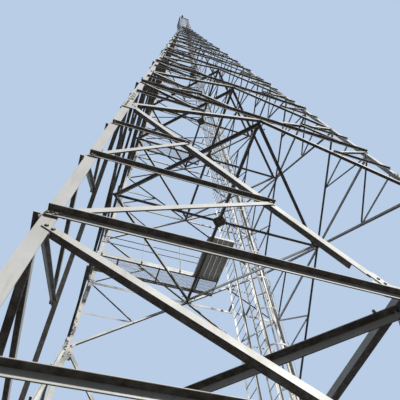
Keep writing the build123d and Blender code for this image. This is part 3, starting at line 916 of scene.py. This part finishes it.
def column(share):
    # A column that follows the back face: its foot, and the ways across it, up it and out to the right.
    foot = Vector((share * base_half, base_half - ladder_set_in, 0))
    lean = Vector((-share * slope, -slope, 1)).normalized()
    across = (north - lean * lean.y).normalized()
    return foot, across, lean, across.cross(lean).normalized()


carrier_levels = [foot_crossing, k_bottom, k_bottom + k_third]
for levels in (lower_levels, middle_levels, upper_levels):
    for z0, z1 in zip(levels[:-1], levels[1:]):
        carrier_levels.append(crossing(z0, z1))
ladders = {"climbing_ladder": (0.64, 0.200), "cable_ladder": (0.45, 0.245)}
rungs = ([], [])
for name, (share, wide) in ladders.items():
    origin, across, lean, out = column(share)
    ladder = ([], [])
    for s in (-1, 1):
        heel = origin + across * s * (wide / 2 - stringer_thick) + out * 0.0125
        rolled(ladder, stringer_angle, heel + lean * ladder_start, heel + lean * ladder_top, -out, across * s)
    for z in carrier_levels:
        x = share * half_at(z) - 0.003
        near = half_at(z) - ladder_set_in + wide / 2 - 0.012
        far = half_at(z) - 0.006
        rolled(ladder, bracket_angle, Vector((x, near, z - 0.010)), Vector((x, far, z - 0.010)), high, east)
    make_piece(name + "_stringers", ladder, platform_zinc, (name,))
    middle = (ladder_start + ladder_top) / 2
    count = int((ladder_top - ladder_start) / rung_pitch)
    welded_bar = [(weld_r, 0), (rung_r, 0.0035), (rung_r, wide + 0.0005), (weld_r, wide + 0.004)]
    for i in range(count):
        rung = origin + lean * (middle + (i - (count - 1) / 2) * rung_pitch)
        turned(rungs, rung - across * (wide / 2 + 0.002), across, welded_bar, 8)
make_piece("ladder_rung_bars", rungs, platform_zinc, ("ladder_rungs",), smooth=35)

# Safety cage: hoops of flat bar, rolled round and bolted to the ladder's stringers, with five upright straps
# inside. Its middle line stands out from the ladder, and each hoop is a circle that the ladder closes.
cage_start = 1.300
cage_top = 11.750
cage_r = 0.175
mouth_half = 0.0975
hoop_tall = 0.024
hoop_half = 0.002
hoop_count = 19
hoop_steps = 30
strap_turns = [radians(turn) for turn in (-90, -45, 0, 45, 90)]
origin, across, lean, out = column(ladders["climbing_ladder"][0])
cage_middle = (cage_r ** 2 - mouth_half ** 2) ** 0.5
cage_foot = origin + out * cage_middle
half_turn = pi - atan2(mouth_half, cage_middle)
hoop_outline = [
    (cage_r - hoop_half, 0), (cage_r + hoop_half, 0),
    (cage_r + hoop_half, hoop_tall), (cage_r - hoop_half, hoop_tall),
]
strap_outline = [(-0.011, -0.0018), (0.011, -0.0018), (0.011, 0.0018), (-0.011, 0.0018)]
cage_bolt = 0.005
cage_grip = 0.0075


def cage_way(turn):
    # The way from the cage's middle line to its rim. At 0 it is straight out from the ladder.
    return out * cos(turn) + across * sin(turn)


cage = ([], [])
cage_bolts = ([], [])
for k in range(hoop_count):
    level = cage_start + k * (cage_top - cage_start - hoop_tall) / (hoop_count - 1)
    points, faces = cage
    first = len(points)
    for i in range(hoop_steps + 1):
        way = cage_way(-half_turn + 2 * half_turn * i / hoop_steps)
        for radius, height in hoop_outline:
            points.append(cage_foot + lean * (level + height) + way * radius)
    for i in range(hoop_steps):
        for j in range(4):
            a = first + i * 4
            faces.append((a + j, a + (j + 1) % 4, a + 4 + (j + 1) % 4, a + 4 + j))
    faces.append((first, first + 1, first + 2, first + 3))
    faces.append((len(points) - 1, len(points) - 2, len(points) - 3, len(points) - 4))
    for turn in strap_turns:
        way = cage_way(turn)
        spot = cage_foot + lean * (level + hoop_tall / 2) + way * (cage_r + hoop_half)
        hex_bolt(cage_bolts, spot, way, cage_bolt, cage_grip)
for turn in strap_turns:
    way = cage_way(turn)
    foot = cage_foot + way * (cage_r - 0.004)
    rolled(cage, strap_outline, foot + lean * cage_start, foot + lean * cage_top, lean.cross(way), way)
make_piece("cage_hoops_and_straps", cage, platform_zinc, (
    "cage_side_back", "cage_corner_back", "cage_side_right", "cage_corner_front", "cage_side_front",
), smooth=35)
make_piece("cage_bolts", cage_bolts, plate_zinc)

# Obstruction light on the arm in front of the head: a cast and galvanised base, and on its rim a ribbed
# lens, moulded in red acrylic.
light_place = Vector((arm_x, -top_half - arm_reach + 0.030, frame_z))
base_cast = ([], [])
base_rings = [
    (0.048, 0), (0.050, 0.003), (0.050, 0.009), (0.034, 0.013),
    (0.032, 0.030), (0.046, 0.036), (0.048, 0.042),
]
turned(base_cast, light_place, high, base_rings, 28)
make_piece("light_base", base_cast, plate_zinc, smooth=35)
# The acrylic is smooth and lets some light through. The sun has faded it to pink in patches about 50 mm
# across, and made it slightly hazy.
lens_plastic = bpy.data.materials.new("pale_red_moulded_lens")
lens_plastic.use_nodes = True
tree = lens_plastic.node_tree
tree.nodes.clear()
place = node(tree, "TexCoord").outputs["Object"]
fade = node(tree, "TexNoise", {"Vector": place, "Scale": 1000 / 50, "Detail": 4.0})
faded = node(tree, "Mix", {
    0: fade.outputs["Fac"], 6: colour("#E07C7E"), 7: colour("#F0B7B6"),
}, data_type="RGBA")
haze = node(tree, "MapRange", {0: fade.outputs["Fac"], 1: 0.3, 2: 0.7, 3: 0.12, 4: 0.26})
lens_shader = node(tree, "BsdfPrincipled", {
    "Base Color": faded.outputs[2], "Roughness": haze.outputs[0], "IOR": 1.49, "Transmission Weight": 0.25,
})
node(tree, "OutputMaterial", {"Surface": lens_shader.outputs[0]})
lens = ([], [])
lens_ribs = 9
rib_pitch = 0.010
rib = ((0.0585, 0.047), (0.0605, 0.052), (0.0585, 0.0565))
rings = [(0.050, 0.042), (0.056, 0.044)]
for k in range(lens_ribs):
    rings += [(radius, height + k * rib_pitch) for radius, height in rib]
rings += [(0.056, 0.141), (0.050, 0.148), (0.040, 0.154), (0.026, 0.158), (0.010, 0.1598)]
turned(lens, light_place, high, rings, 36)
make_piece("light_lens", lens, lens_plastic, ("obstruction_light",), smooth=25)
